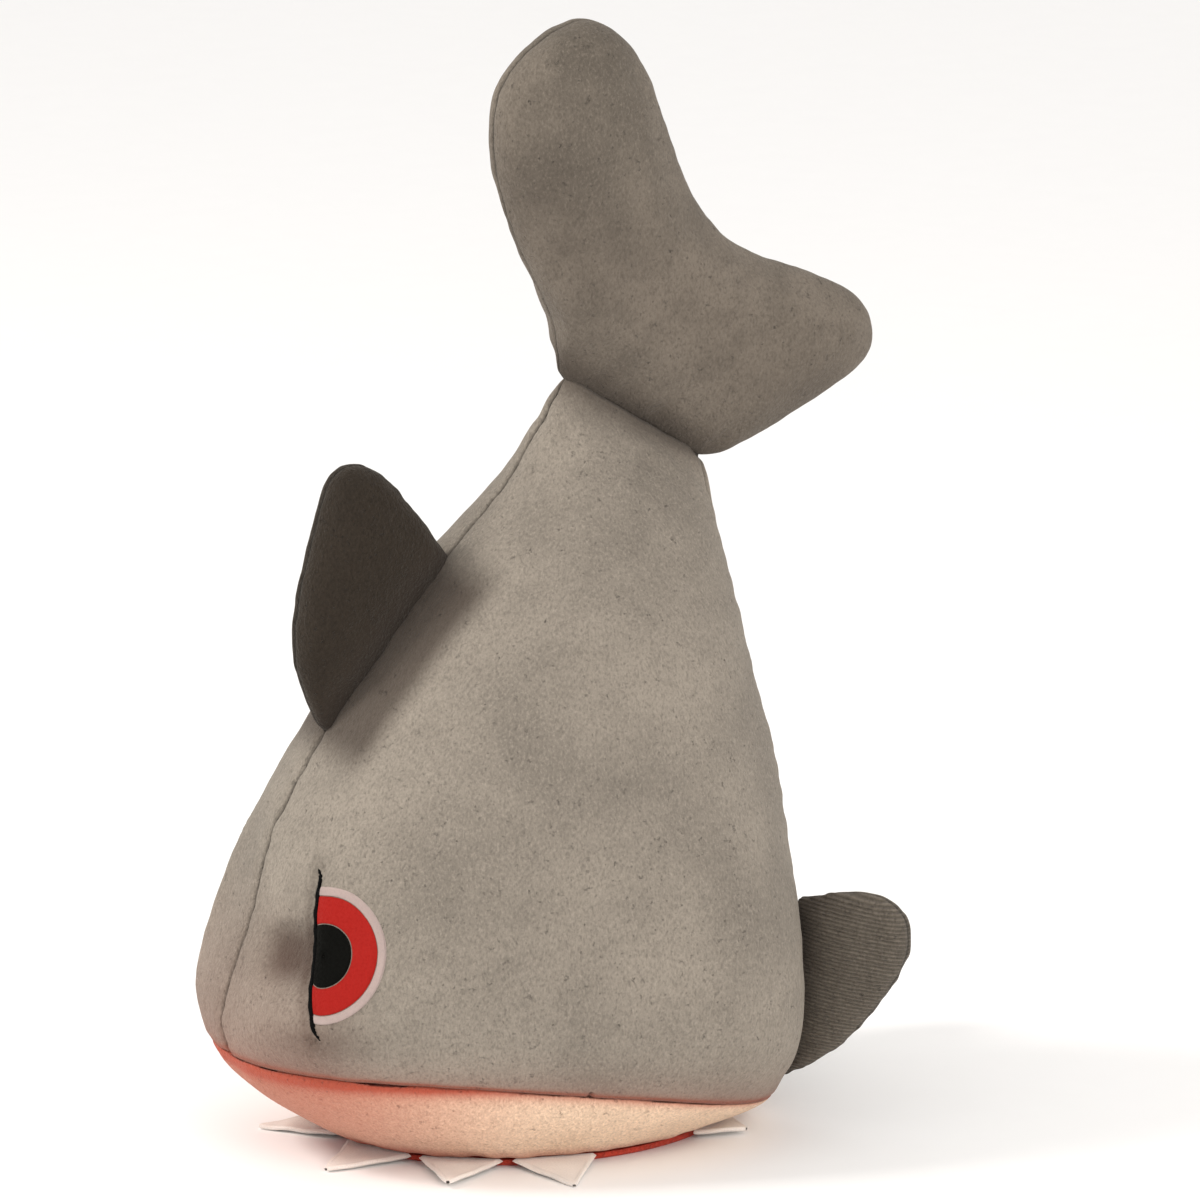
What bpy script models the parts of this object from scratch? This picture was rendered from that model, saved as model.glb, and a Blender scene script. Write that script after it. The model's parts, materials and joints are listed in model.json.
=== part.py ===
"""A stuffed plush shark that is worn as a head cover: its open mouth faces down and its tail points up.

Sizes are in millimetres and are scaled to metres once, when a mesh is made. +Z points from the mouth to
the tail, -X to the shark's nose and back, +X to its belly, and -Y to its left side. The origin is the
centre of the head opening, on the plane that the mouth rests on.
"""

import math

import bmesh
import bpy
from mathutils import Vector
from mathutils.bvhtree import BVHTree
from mathutils.geometry import delaunay_2d_cdt

METRES_PER_MM = 0.001

# Cloth and clearances
SKIN = 2.5  # velvet with its backing and half its pile
LINING = 2.0
FELT = 2.4  # two layers of felt glued together
EMBROIDERY = 1.2
SEAM_GAP = 0.6  # between two pieces of cloth along a seam
FILL_GAP = 0.6  # between a skin and the filling behind it

# Body: cross-sections from the hem over the mouth up to the neck. Each runs from a point on the back
# (x, z) to a point on the belly (x, z), with its half width, its squareness (2 is an ellipse) and how far
# it narrows towards the back.
BODY_SECTIONS = [
    ((-173, 58), (119, 14), 113, 2.5, 0.17),
    ((-175, 84), (127, 52), 122, 2.9, 0.20),
    ((-158, 132), (130, 100), 124, 2.6, 0.18),
    ((-146, 173), (132, 143), 118, 2.2, 0.12),
    ((-121, 216), (130, 183), 107, 2.0, 0.05),
    ((-86, 261), (121.5, 224), 92, 2.0, 0.0),
    ((-51, 304), (112.5, 266), 71, 2.0, 0.0),
    ((-13, 345), (103.5, 306), 44, 2.0, 0.0),
    ((17, 393), (98, 343), 9, 2.2, 0.0),
]
HEM_LIFT = 10.5  # how far the hem rises over the corners of the mouth
HEM_LIFT_END = 0.3  # share of the body's length at which that rise has died out
BELLY_SEAM = math.radians(21)  # where the belly panel meets the side panels
FILL_SPLIT = 0.4375  # share of the body's length where the stuffing round the head ends
FILL_TOP = 0.985

# Head opening, its lining and the lip round it
MOUTH = (96, 74)  # half length and half width of the opening
CROWN = (MOUTH[0] + 4, MOUTH[1] + 6)  # the same where the dome begins
DOME_START = 95
DOME_HEIGHT = 72
REST_RIM = 7.5  # width of the flat ring that the shark stands on, past the opening
TOOTH_LINE = (MOUTH[0] + 13, MOUTH[1] + 11)  # where the teeth are sewn, just past that ring
TOOTH_LINE_HEIGHT = 3.7
LIP_BOTTOM = 6.0
LIP_STRAIGHTNESS = 0.62  # 0 is a round lip, 1 a straight one

# Teeth
TOOTH_DROOP = 1.8  # how much lower the tip lies than the sewn edge
TOOTH_TIP_RADIUS = 1.5
TOOTH_GAP = 5.2  # between neighbours along the tooth line
# For each jaw: angles where the left row starts and ends, number in the row and length of a tooth
TEETH = {
    "upper": (math.radians(-90), math.radians(-177), 3, 40),
    "lower": (math.radians(-32), math.radians(-58), 1, 20),
}

# Fins and tail: outlines as (along the base, away from its hinge line)
BASE = SKIN + 0.5  # how far above its hinge line a fin's cloth starts
TAIL_BASE = BASE + 1
DORSAL_BASE = (0.5, 0.75)  # shares of the body's length where its seam starts and ends
DORSAL_DIRECTION = (-1, 0, 0.8)
DORSAL_OUTLINE = [
    (1, BASE), (11, 17), (41, 45), (80, 64), (110, 76), (124, 71), (128, 52), (121, 21), (115, BASE),
]
DORSAL_HALF_THICKNESS = 12
PECTORAL_BASE = (0.02, 0.29)
PECTORAL_AZIMUTH = math.radians(50)
PECTORAL_OUTLINE = [
    (0, BASE), (6, 10), (20, 23), (41, 38), (63, 51), (84, 58), (98, 56), (107, 46), (108, 28), (100, BASE),
]
PECTORAL_HALF_THICKNESS = 8
TAIL_OUTLINE = [
    (0, TAIL_BASE), (-24, 24), (-64, 52), (-97, 83), (-111, 119), (-91, 161), (-56, 163), (-22, 141), (18, 113),
    (56, 104), (99, 110), (131, 109), (149, 92), (143, 69), (116, 27), (95, TAIL_BASE),
]
TAIL_HALF_THICKNESS = 19
PILLOW_ROUND = 32  # how far in from a seam a fin reaches its full thickness
BASE_SLOPE = 0.55  # rise of a fin's faces away from its hinge line
SEAM_ALLOWANCE = 3.0

# Eyes, as radii from the eye's centre
EYE_PLACE = (0.226, math.radians(-145.5))  # share of the body's length, and angle round it
EYE_FACING = math.radians(-52)
EYE_LEAN = math.radians(7)
EYE_WHITE_RADIUS = 33.4
IRIS_RADIUS = 29
PUPIL_RADIUS = 15.5
EYE_GAP = 0.4
BROW_HALF_LENGTH = 42
BROW_BOW = 4.0
BROW_CUT = 4.2  # how far in front of the eye's centre the brow's ends lie
BROW_WIDTH = 2.6

# Mesh density
SIDE_COLUMNS = 20
BELLY_COLUMNS = 5
ROWS_PER_SECTION = 2
HOLLOW_ROWS = 5
DOME_ROWS = 6
LIP_STEPS = 6
SPLINE_STEPS = 3
SHEET_SPACING = 15

# Colour and roughness of each material
LOOKS = {
    "velvet_gray": ((0.34, 0.30, 0.25), 0.85),
    "velvet_dark": ((0.22, 0.19, 0.16), 0.85),
    "velvet_cream": ((0.78, 0.50, 0.32), 0.85),
    "lining_red": ((0.55, 0.06, 0.03), 0.8),
    "fibre_fill": ((0.80, 0.78, 0.74), 0.9),
    "felt_white": ((0.78, 0.68, 0.60), 0.9),
    "thread_white": ((0.70, 0.50, 0.45), 0.6),
    "thread_iris": ((0.55, 0.06, 0.03), 0.6),
    "thread_pupil": ((0.005, 0.005, 0.003), 0.6),
    "thread_brow": ((0.005, 0.005, 0.003), 0.6),
}


def spline(knots, position):
    """A smooth value through equally spaced knots, each a tuple; position runs from 0 to 1."""
    spans = len(knots) - 1
    index = min(int(position * spans), spans - 1)
    t = position * spans - index
    before = knots[max(index - 1, 0)]
    start, end = knots[index], knots[index + 1]
    after = knots[min(index + 2, spans)]
    values = []
    for p0, p1, p2, p3 in zip(before, start, end, after):
        slope_in = (p2 - p0) / 2
        slope_out = (p3 - p1) / 2
        curve = (2 * t**3 - 3 * t**2 + 1) * p1 + (t**3 - 2 * t**2 + t) * slope_in
        values.append(curve + (-2 * t**3 + 3 * t**2) * p2 + (t**3 - t**2) * slope_out)
    return values


def body_section(share):
    """Back point, belly point, half width, squareness and narrowing at a share of the body's length."""
    knots = [(*back, *belly, *rest) for back, belly, *rest in BODY_SECTIONS]
    back_x, back_z, belly_x, belly_z, half_width, squareness, narrowing = spline(knots, share)
    return Vector((back_x, 0, back_z)), Vector((belly_x, 0, belly_z)), half_width, squareness, narrowing


def body_point(share, angle, inset=0.0):
    """A point of the body's surface; angle 0 is the belly, 180 degrees the back, negative the left side."""
    back, belly, half_width, squareness, narrowing = body_section(share)
    centre = (back + belly) / 2
    across = (belly - back) / 2
    c, s = math.cos(angle), math.sin(angle)
    reach = (abs(c) ** squareness + abs(s) ** squareness) ** (-1 / squareness)
    along = across * (1 - inset / across.length) * reach * c
    sideways = (half_width - inset) * reach * s * (1 + narrowing * c)
    fade = max(0.0, 1 - share / HEM_LIFT_END) ** 2
    lift = HEM_LIFT * fade * s * s
    return centre + along + Vector((0, sideways, lift))


def spread(first, last, steps):
    return [first + (last - first) * i / steps for i in range(steps + 1)]


def turn_angles():
    """The angles round the body at which every layer has a column of points, seams included."""
    left = spread(-math.pi, -BELLY_SEAM, SIDE_COLUMNS)
    belly = spread(-BELLY_SEAM, BELLY_SEAM, BELLY_COLUMNS)
    right = spread(BELLY_SEAM, math.pi, SIDE_COLUMNS)
    return left[:-1] + belly[:-1] + right[:-1]


def body_rows(start, end):
    """The shares of the body's length at which every layer has a row of points, from start to end."""
    count = ROWS_PER_SECTION * (len(BODY_SECTIONS) - 1)
    shares = {i / count for i in range(count + 1)} | {FILL_SPLIT, FILL_TOP}
    return [share for share in sorted(shares) if start <= share <= end]


class Shell:
    """Points and faces of one closed body, put together from loops of points."""

    def __init__(self):
        self.points = []
        self.faces = []

    def loop(self, points):
        first = len(self.points)
        self.points.extend(points)
        return list(range(first, len(self.points)))

    def wall(self, one, other, closed=True):
        """Triangles between two loops, split the mirrored way on the two sides so that layers stay parallel."""
        count = len(one)
        for i in range(count if closed else count - 1):
            j = (i + 1) % count
            a, b, c, d = one[i], one[j], other[j], other[i]
            if sum(self.points[corner].y for corner in (a, b, c, d)) < 0:
                self.faces += [(a, b, c), (a, c, d)]
            else:
                self.faces += [(a, b, d), (b, c, d)]

    def walls(self, loops, closed=True):
        for one, other in zip(loops, loops[1:]):
            self.wall(one, other, closed)

    def cap(self, loop):
        middle = sum((self.points[i] for i in loop), Vector()) / len(loop)
        centre = self.loop([middle])[0]
        for i, j in zip(loop, loop[1:] + loop[:1]):
            self.faces.append((i, j, centre))


def thick_patch(outer, inner):
    """One closed body between two grids of points."""
    shell = Shell()
    borders = []
    for grid in (outer, inner):
        loops = [shell.loop(row) for row in grid]
        shell.walls(loops, closed=False)
        right = [loop[-1] for loop in loops[1:-1]]
        left = [loop[0] for loop in loops[1:-1]]
        borders.append(loops[0] + right + loops[-1][::-1] + left[::-1])
    shell.wall(*borders)
    return shell


def swept_ring(sections):
    """One closed ring from its cross-sections, each a closed loop of points."""
    shell = Shell()
    loops = [shell.loop(section) for section in sections]
    shell.walls(loops + loops[:1])
    return shell


def stack(rings):
    """One closed body from rings of points, capped at both ends."""
    shell = Shell()
    loops = [shell.loop(ring) for ring in rings]
    shell.walls(loops)
    shell.cap(loops[0])
    shell.cap(loops[-1])
    return shell


def cup(outer, inner):
    """One closed body between two stacks of rings that are joined at their first rings."""
    shell = Shell()
    mouths = []
    for rings in (inner, outer):
        loops = [shell.loop(ring) for ring in rings]
        shell.walls(loops)
        shell.cap(loops[-1])
        mouths.append(loops[0])
    shell.wall(*mouths)
    return shell


def mirrored(shell):
    """The same body on the other side of the XZ plane."""
    twin = Shell()
    twin.points = [Vector((p.x, -p.y, p.z)) for p in shell.points]
    twin.faces = list(shell.faces)
    return twin


def material(name):
    """The Principled material of that name, with one colour."""
    color, roughness = LOOKS[name]
    found = bpy.data.materials.get(name) or bpy.data.materials.new(name)
    found.use_nodes = True
    shader = found.node_tree.nodes["Principled BSDF"]
    shader.inputs["Base Color"].default_value = (*color, 1.0)
    shader.inputs["Roughness"].default_value = roughness
    shader.inputs["Metallic"].default_value = 0.0
    return found


def add_piece(name, shell, look, joint=None):
    """One object with its faces pointing out; a moving piece has its origin on its joint's empty."""
    origin = joint.location / METRES_PER_MM if joint else Vector()
    mesh = bpy.data.meshes.new(name)
    mesh.from_pydata([(p - origin) * METRES_PER_MM for p in shell.points], [], shell.faces)
    work = bmesh.new()
    work.from_mesh(mesh)
    bmesh.ops.recalc_face_normals(work, faces=work.faces)
    work.to_mesh(mesh)
    work.free()
    mesh.shade_smooth()
    mesh.set_sharp_from_angle(angle=math.radians(40))
    mesh.materials.append(look)
    piece = bpy.data.objects.new(name, mesh)
    bpy.context.scene.collection.objects.link(piece)
    piece.parent = joint
    return piece


def add_joint(name, anchor):
    """An empty on a joint's axis; the pieces that move there are its children."""
    joint = bpy.data.objects.new(name, None)
    bpy.context.scene.collection.objects.link(joint)
    joint.location = anchor * METRES_PER_MM
    return joint


def add_panels():
    """The two velvet side panels, sewn together along the back, and the belly panel between them."""
    look = material("velvet_gray")

    def grid(angles, inset):
        rows = []
        for share in body_rows(0, 1):
            gap = SEAM_GAP / 2 / body_section(share)[2]
            shifted = [angles[0] + gap, *angles[1:-1], angles[-1] - gap]
            rows.append([body_point(share, angle, inset) for angle in shifted])
        return rows

    side_angles = spread(-math.pi, -BELLY_SEAM, SIDE_COLUMNS)
    side = thick_patch(grid(side_angles, 0), grid(side_angles, SKIN))
    add_piece("side_panel_left", side, look)
    add_piece("side_panel_right", mirrored(side), look)
    belly_angles = spread(-BELLY_SEAM, BELLY_SEAM, BELLY_COLUMNS)
    add_piece("belly_panel", thick_patch(grid(belly_angles, 0), grid(belly_angles, SKIN)), look)


def hollow_point(angle, height, outset=0.0):
    """A point of the head hollow's wall below the dome, or of a surface outset from it."""
    share = min(height / DOME_START, 1)
    half_length = MOUTH[0] + (CROWN[0] - MOUTH[0]) * share + outset
    half_width = MOUTH[1] + (CROWN[1] - MOUTH[1]) * share + outset
    return Vector((half_length * math.cos(angle), half_width * math.sin(angle), height))


def hollow_rings(bottom, outset):
    """Rings up the hollow and over its dome; bottom gives the height of the first ring at each angle."""
    rings = []
    for row in range(HOLLOW_ROWS):
        share = row / HOLLOW_ROWS
        rings.append([
            hollow_point(a, bottom(a) + (DOME_START - bottom(a)) * share, outset) for a in turn_angles()
        ])
    for row in range(DOME_ROWS):
        turn = math.pi / 2 * row / DOME_ROWS
        height = DOME_START + (DOME_HEIGHT + outset) * math.sin(turn)
        ring = []
        for a in turn_angles():
            edge = hollow_point(a, DOME_START, outset)
            ring.append(Vector((edge.x * math.cos(turn), edge.y * math.cos(turn), height)))
        rings.append(ring)
    return rings


def filling_bottom(angle):
    return body_point(0, angle, SKIN + FILL_GAP).z


def add_lining():
    """The red mouth lining: a flat ring that the shark stands on, a wall and a dome over the head."""
    look = material("lining_red")
    rim = []
    for height in (0.0, LINING):
        rim.append([hollow_point(a, 0, REST_RIM) + Vector((0, 0, height)) for a in turn_angles()])
    outer = rim + hollow_rings(lambda a: LINING, LINING)
    inner = hollow_rings(lambda a: 0.0, 0.0)
    add_piece("mouth_lining", cup(outer, inner), look)


def lip_profile(angle, inset):
    """Points down the lip, from a seam's gap under the same layer of the body to that far above the tooth line."""
    hem = body_point(0, angle, inset) - Vector((0, 0, SEAM_GAP))
    root = Vector((TOOTH_LINE[0] * math.cos(angle), TOOTH_LINE[1] * math.sin(angle), LIP_BOTTOM + inset))
    across = Vector((hem.x - root.x, hem.y - root.y, 0))
    height = hem.z - root.z
    points = []
    for step in range(LIP_STEPS + 1):
        turn = math.pi / 2 * step / LIP_STEPS
        run = math.cos(turn)
        rise = LIP_STRAIGHTNESS * run + (1 - LIP_STRAIGHTNESS) * (1 - math.sin(turn))
        points.append(root + across * run + Vector((0, 0, rise * height)))
    return points


def add_lip():
    """The cream lip cover between the hem and the tooth line, and the stuffed roll that it wraps."""
    cover = [lip_profile(a, 0) + lip_profile(a, SKIN)[::-1] for a in turn_angles()]
    add_piece("lip_cover", swept_ring(cover), material("velvet_cream"))
    rolls = []
    wall = LINING + FILL_GAP
    for a in turn_angles():
        outside = lip_profile(a, SKIN + FILL_GAP)
        inside = [hollow_point(a, outside[-1].z, wall), hollow_point(a, outside[0].z, wall)]
        rolls.append(outside + inside)
    add_piece("lip_padding", swept_ring(rolls), material("fibre_fill"))


def add_fillings():
    """The stuffing: a cup round the head hollow and a cone from there up to the neck."""
    look = material("fibre_fill")
    inset = SKIN + FILL_GAP
    half_gap = Vector((0, 0, FILL_GAP / 2))

    def ring(share, offset):
        return [body_point(share, a, inset) + offset for a in turn_angles()]

    outer = [ring(share, Vector()) for share in body_rows(0, FILL_SPLIT)]
    outer[-1] = ring(FILL_SPLIT, -half_gap)
    inner = hollow_rings(filling_bottom, LINING + FILL_GAP)
    add_piece("head_filling", cup(outer, inner), look)
    upper = [ring(share, Vector()) for share in body_rows(FILL_SPLIT, FILL_TOP)]
    upper[0] = ring(FILL_SPLIT, half_gap)
    add_piece("body_filling", stack(upper), look)


def outline_points(knots):
    """A smooth outline through the knots, with the base between its ends left to be closed straight."""
    count = (len(knots) - 1) * SPLINE_STEPS
    curve = [Vector(spline(knots, i / count)) for i in range(count + 1)]
    base = curve[0] - curve[-1]
    steps = max(2, round(base.length / SHEET_SPACING))
    return curve + [curve[-1] + base * i / steps for i in range(1, steps)]


def outline_distance(point, outline):
    """How far a point is from a closed outline."""
    best = math.inf
    for a, b in zip(outline, outline[1:] + outline[:1]):
        side = b - a
        share = max(0.0, min(1.0, (point - a).dot(side) / side.length_squared))
        best = min(best, (point - a - side * share).length)
    return best


def inside(point, outline):
    """Whether a point lies within a closed outline."""
    odd = False
    for a, b in zip(outline, outline[1:] + outline[:1]):
        if (a.y > point.y) != (b.y > point.y):
            odd ^= point.x < a.x + (point.y - a.y) * (b.x - a.x) / (b.y - a.y)
    return odd


def sheet(outline, allowance):
    """Flat triangles within an outline, with a ring of points an allowance inside it."""
    area = sum(a.x * b.y - b.x * a.y for a, b in zip(outline, outline[1:] + outline[:1]))
    if area < 0:
        outline = outline[::-1]
    count = len(outline)
    ring = []
    for i, point in enumerate(outline):
        along = (outline[(i + 1) % count] - outline[i - 1]).normalized()
        ring.append(point + Vector((-along.y, along.x)) * allowance)
    low = Vector((min(p.x for p in outline), min(p.y for p in outline)))
    high = Vector((max(p.x for p in outline), max(p.y for p in outline)))
    rows = int((high.y - low.y) / SHEET_SPACING) + 1
    columns = int((high.x - low.x) / SHEET_SPACING) + 1
    inner = []
    for row in range(rows + 1):
        for column in range(columns + 1):
            shift = 0.5 * (row % 2)
            point = low + Vector((column + shift, row)) * SHEET_SPACING
            if inside(point, outline) and outline_distance(point, outline) > allowance + 0.45 * SHEET_SPACING:
                inner.append(point)
    edges = [(i, (i + 1) % count) for i in range(count)]
    edges += [(count + i, count + (i + 1) % count) for i in range(count)]
    points, _, faces, *_ = delaunay_2d_cdt(outline + ring + inner, edges, [], 1, 1e-4)
    return outline, points, [tuple(face) for face in faces]


def sheet_solid(points, faces, front, back):
    """One closed body from flat triangles, with a front and a back place for each flat point."""
    used = sorted({i for face in faces for i in face})
    place = {i: n for n, i in enumerate(used)}
    shell = Shell()
    one = shell.loop([front(points[i]) for i in used])
    other = shell.loop([back(points[i]) for i in used])
    borders = set()
    for face in faces:
        corners = [place[i] for i in face]
        shell.faces.append(tuple(one[i] for i in corners))
        shell.faces.append(tuple(other[i] for i in corners[::-1]))
        for a, b in zip(corners, corners[1:] + corners[:1]):
            if (b, a) in borders:
                borders.remove((b, a))
            else:
                borders.add((a, b))
    for a, b in sorted(borders):
        shell.faces.append((one[b], one[a], other[a], other[b]))
    return shell


def pillow(knots, start, end, outward, half_thickness):
    """Two skins and the filling of a flat stuffed limb whose base runs from start to end."""
    along = (end - start).normalized()
    away = (outward - along * outward.dot(along)).normalized()
    across = along.cross(away)
    outline, points, faces = sheet(outline_points(knots), SEAM_ALLOWANCE)
    base_height = knots[0][1]

    def swell(point):
        edge = min(outline_distance(point, outline), PILLOW_ROUND)
        full = half_thickness * math.sqrt(max(0.0, 1 - (1 - edge / PILLOW_ROUND) ** 2))
        return min(full, BASE_SLOPE * max(0.0, point.y - base_height))

    def place(point, offset):
        return start + along * point.x + away * point.y + across * offset

    def skin(side):
        def inner(p):
            return place(p, side * (SEAM_GAP / 2 + swell(p)))

        def outer(p):
            return place(p, side * (SEAM_GAP / 2 + swell(p) + SKIN))

        return sheet_solid(points, faces, outer, inner)

    def core(side):
        return lambda p: place(p, side * (SEAM_GAP / 2 + swell(p) - FILL_GAP))

    deep = [f for f in faces if min(outline_distance(points[i], outline) for i in f) > 0.7 * SEAM_ALLOWANCE]
    return skin(1), skin(-1), sheet_solid(points, deep, core(1), core(-1))


def hinge_line(low, high, angle, outward):
    """The ends of a limb's seam on the body, moved outward until the line clears the body between them."""
    start = body_point(low, angle)
    end = body_point(high, angle)
    along = (end - start).normalized()
    away = (outward - along * outward.dot(along)).normalized()
    samples = [body_point(low + (high - low) * i / 8, angle) for i in range(9)]
    bulge = max((p - start).dot(away) for p in samples)
    return start + away * max(0.0, bulge), end + away * max(0.0, bulge), away


def add_dorsal_fin():
    """The back fin, sewn into the seam along the back; it folds to either side."""
    look = material("velvet_dark")
    start, end, away = hinge_line(*DORSAL_BASE, math.pi, Vector(DORSAL_DIRECTION))
    joint = add_joint("dorsal_fin_hinge", (start + end) / 2)
    left, right, core = pillow(DORSAL_OUTLINE, start, end, away, DORSAL_HALF_THICKNESS)
    add_sides("dorsal_fin", left, right, core, look, joint)


def add_sides(name, one, other, core, look, joint):
    """A limb's two skins, named by the side that they lie on, and its filling."""
    if sum(p.y for p in one.points) > 0:
        one, other = other, one
    add_piece(name + "_left_face", one, look, joint)
    add_piece(name + "_right_face", other, look, joint)
    add_piece(name + "_filling", core, material("fibre_fill"), joint)


def add_tail():
    """The two-lobed tail, sewn flat into the neck seam; it flops to either side."""
    back, belly, *_ = body_section(1)
    joint = add_joint("tail_hinge", (back + belly) / 2)
    left, right, core = pillow(TAIL_OUTLINE, back, belly, Vector((0, 0, 1)), TAIL_HALF_THICKNESS)
    add_sides("tail", left, right, core, material("velvet_gray"), joint)


def add_pectoral_fins():
    """The side fins, sewn into the belly seams near the mouth; each flaps towards the belly and the side."""
    look = material("velvet_dark")
    outward = Vector((math.cos(PECTORAL_AZIMUTH), -math.sin(PECTORAL_AZIMUTH), 0))
    start, end, away = hinge_line(*PECTORAL_BASE, -BELLY_SEAM, outward)
    pieces = pillow(PECTORAL_OUTLINE, start, end, away, PECTORAL_HALF_THICKNESS)
    middle = (start + end) / 2
    for side, sign in (("left", 1), ("right", -1)):
        joint = add_joint("pectoral_" + side + "_hinge", Vector((middle.x, sign * middle.y, middle.z)))
        front, rear, core = pieces if sign > 0 else [mirrored(piece) for piece in pieces]
        add_piece("pectoral_" + side + "_front_face", front, look, joint)
        add_piece("pectoral_" + side + "_rear_face", rear, look, joint)
        add_piece("pectoral_" + side + "_filling", core, material("fibre_fill"), joint)


def tooth_line_point(angle):
    return Vector((TOOTH_LINE[0] * math.cos(angle), TOOTH_LINE[1] * math.sin(angle), TOOTH_LINE_HEIGHT))


def tooth_ends(first, last, count):
    """Points that part the tooth line between two angles into equal lengths."""
    steps = 240
    points = [tooth_line_point(a) for a in spread(first, last, steps)]
    run = [0.0]
    for a, b in zip(points, points[1:]):
        run.append(run[-1] + (b - a).length)
    targets = spread(0, run[-1], count)
    return [points[min(range(steps + 1), key=lambda n: abs(run[n] - target))] for target in targets]


def tooth_solid(middle, along, width, length):
    """A flat felt triangle that points away from the mouth and droops a little."""
    droop = math.asin(TOOTH_DROOP / length)
    level = Vector((0, 0, 1)).cross(along)
    level *= math.copysign(1, level.dot(middle))
    out = level * math.cos(droop) - Vector((0, 0, 1)) * math.sin(droop)
    up = along.cross(out)
    half = width / 2
    tip = TOOTH_TIP_RADIUS
    outline = [(-half, 0), (half, 0), (tip, length - tip), (0, length), (-tip, length - tip)]
    shell = Shell()
    loops = []
    for offset in (-FELT / 2, FELT / 2):
        loops.append(shell.loop([middle + along * x + out * y + up * offset for x, y in outline]))
    shell.wall(*loops)
    shell.faces += [tuple(loops[0]), tuple(loops[1])]
    return shell


def add_teeth():
    """Felt teeth along the lip, clear of the mouth's corners; each folds about its sewn edge."""
    look = material("felt_white")
    for jaw, (first, last, count, length) in TEETH.items():
        ends = tooth_ends(first, last, count)
        for number, (one, other) in enumerate(zip(ends, ends[1:]), 1):
            middle = (one + other) / 2
            base = other - one
            tooth = tooth_solid(middle, base.normalized(), base.length - TOOTH_GAP, length)
            for side, sign, shell in (("left", 1, tooth), ("right", -1, mirrored(tooth))):
                name = f"tooth_{jaw}_{side}_{number}"
                joint = add_joint(name + "_hinge", Vector((middle.x, sign * middle.y, middle.z)))
                add_piece(name, shell, look, joint)


def eye_frame():
    """The left eye's centre, its directions towards the belly and up, and the way it faces."""
    centre = body_point(*EYE_PLACE)
    facing = Vector((math.sin(EYE_FACING), -math.cos(EYE_FACING), 0))
    level = Vector((0, 0, 1)).cross(facing)
    towards_belly = level * math.cos(EYE_LEAN) + Vector((0, 0, math.sin(EYE_LEAN)))
    return centre, towards_belly, facing.cross(towards_belly), facing


def surface_tree():
    """A fine copy of the left side's surface from the back to its middle, to lay flat pieces on."""
    steps = 40
    top_share = 0.6
    points = []
    for share in spread(0, top_share, steps):
        points += [body_point(share, angle) for angle in spread(-math.pi, -math.pi / 2, steps)]
    faces = []
    for row in range(steps):
        for column in range(steps):
            first = row * (steps + 1) + column
            faces.append((first, first + 1, first + steps + 2, first + steps + 1))
    return BVHTree.FromPolygons(points, faces)


def brow_line(height):
    """How far in front of the eye's centre the brow lies at a height."""
    return -BROW_CUT - BROW_BOW * (1 - (height / BROW_HALF_LENGTH) ** 2)


def clipped_arc(radius, steps=24):
    """The part of a circle behind the brow, from its lower end to its upper end."""
    edge = EYE_GAP + BROW_WIDTH / 2
    reach = math.pi / 2
    for _ in range(8):
        cosine = (brow_line(radius * math.sin(reach)) + edge) / radius
        reach = math.acos(cosine)
    return [
        Vector((radius * math.cos(reach * (2 * i / steps - 1)), radius * math.sin(reach * (2 * i / steps - 1))))
        for i in range(steps + 1)
    ]


def add_eyes():
    """Embroidered eyes laid on the side panels: a white ring, an iris, a pupil and a brow that cuts them."""
    centre, towards_belly, up, facing = eye_frame()
    tree = surface_tree()
    clear = 60  # far enough out to start clear of the body

    def lay(height):
        def place(point):
            start = centre + towards_belly * point.x + up * point.y + facing * clear
            hit = tree.ray_cast(start, -facing)
            return hit[0] + facing * height

        return place

    def band(outer, inner):
        return clipped_arc(outer) + clipped_arc(inner)[::-1]

    heights = spread(-BROW_HALF_LENGTH, BROW_HALF_LENGTH, 12)
    brow = [Vector((brow_line(h) + BROW_WIDTH / 2, h)) for h in heights]
    brow += [Vector((brow_line(h) - BROW_WIDTH / 2, h)) for h in heights[::-1]]
    pieces = [
        ("white", band(EYE_WHITE_RADIUS, IRIS_RADIUS + EYE_GAP)),
        ("iris", band(IRIS_RADIUS, PUPIL_RADIUS + EYE_GAP)),
        ("pupil", clipped_arc(PUPIL_RADIUS)),
        ("brow", brow),
    ]
    for kind, outline in pieces:
        count = len(outline)
        edges = [(i, (i + 1) % count) for i in range(count)]
        points, _, faces, *_ = delaunay_2d_cdt(outline, edges, [], 1, 1e-4)
        patch = sheet_solid(points, [tuple(f) for f in faces], lay(EYE_GAP + EMBROIDERY), lay(EYE_GAP))
        look = material("thread_" + kind)
        for side, shell in (("left", patch), ("right", mirrored(patch))):
            add_piece(f"eye_{kind}_{side}", shell, look)


def main():
    for old in list(bpy.data.objects):
        bpy.data.objects.remove(old, do_unlink=True)
    add_panels()
    add_lining()
    add_lip()
    add_fillings()
    add_dorsal_fin()
    add_tail()
    add_pectoral_fins()
    add_teeth()
    add_eyes()


main()
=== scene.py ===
"""The looks of the plush shark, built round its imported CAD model.

Lengths are in millimetres until a mesh, a light or the camera is made. +Z points from the mouth to the tail,
-X to the shark's nose and back, and -Y to its left side, which the camera faces.
"""

import json
import math

import bpy
import numpy as np
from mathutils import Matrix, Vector
from mathutils.bvhtree import BVHTree


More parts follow.
